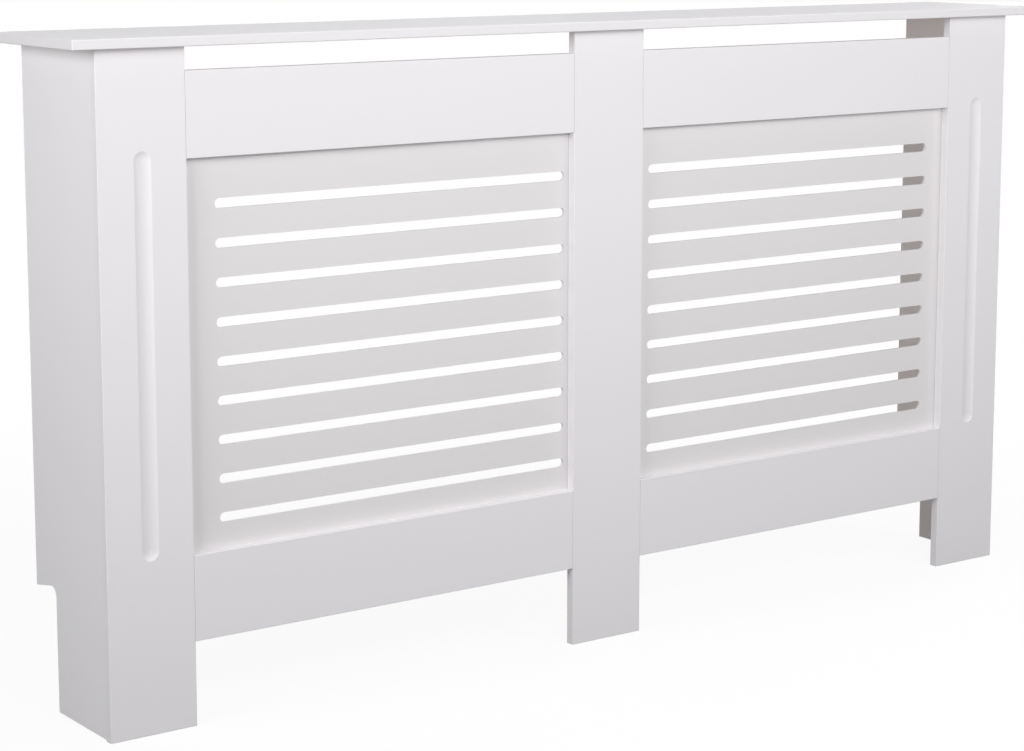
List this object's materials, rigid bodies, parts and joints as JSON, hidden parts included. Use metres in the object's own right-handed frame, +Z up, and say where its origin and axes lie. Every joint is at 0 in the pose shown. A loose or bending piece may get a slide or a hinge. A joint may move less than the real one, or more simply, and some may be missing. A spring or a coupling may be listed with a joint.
{
  "type": "radiator cover cabinet",
  "caption": "Shallow white radiator cover with a shelf on top, a framed front of slotted grilles, fluted outer stiles, side panels cut out for a skirting board, and an open back.",
  "frame": {"origin": "on the floor, under the middle of the shelf", "axes": "+X along the front, to the right as seen from the room; +Y from the front to the wall; +Z up from the floor to the shelf"},
  "size_m": [1.52, 0.205, 0.815],
  "materials": {
    "painted_board": "medium-density fibreboard under white satin paint",
    "painted_grille_board": "thin fibreboard under white satin paint",
    "beech": "bare beech",
    "cast_zinc": "dull die-cast zinc alloy",
    "plated_steel": "bright zinc-plated steel",
    "bracket_steel": "zinc-plated sheet steel"
  },
  "bodies": {
    "root": {"top_shelf": "painted_board", "left_stile": "painted_board", "centre_stile": "painted_board", "right_stile": "painted_board", "left_side_panel": "painted_board", "right_side_panel": "painted_board", "left_top_rail": "painted_board", "right_top_rail": "painted_board", "left_bottom_rail": "painted_board", "right_bottom_rail": "painted_board", "left_grille_panel": "painted_grille_board", "right_grille_panel": "painted_grille_board", "left_wall_bracket": "bracket_steel", "right_wall_bracket": "bracket_steel", "side_panel_dowels": "beech", "shelf_dowels": "beech", "side_panel_cam_locks": "cast_zinc", "shelf_cam_locks": "cast_zinc", "side_panel_cam_bolts": "plated_steel", "shelf_cam_bolts": "plated_steel", "left_grille_screws": "plated_steel", "right_grille_screws": "plated_steel", "wall_bracket_screws": "plated_steel"}
  },
  "joints": []
}
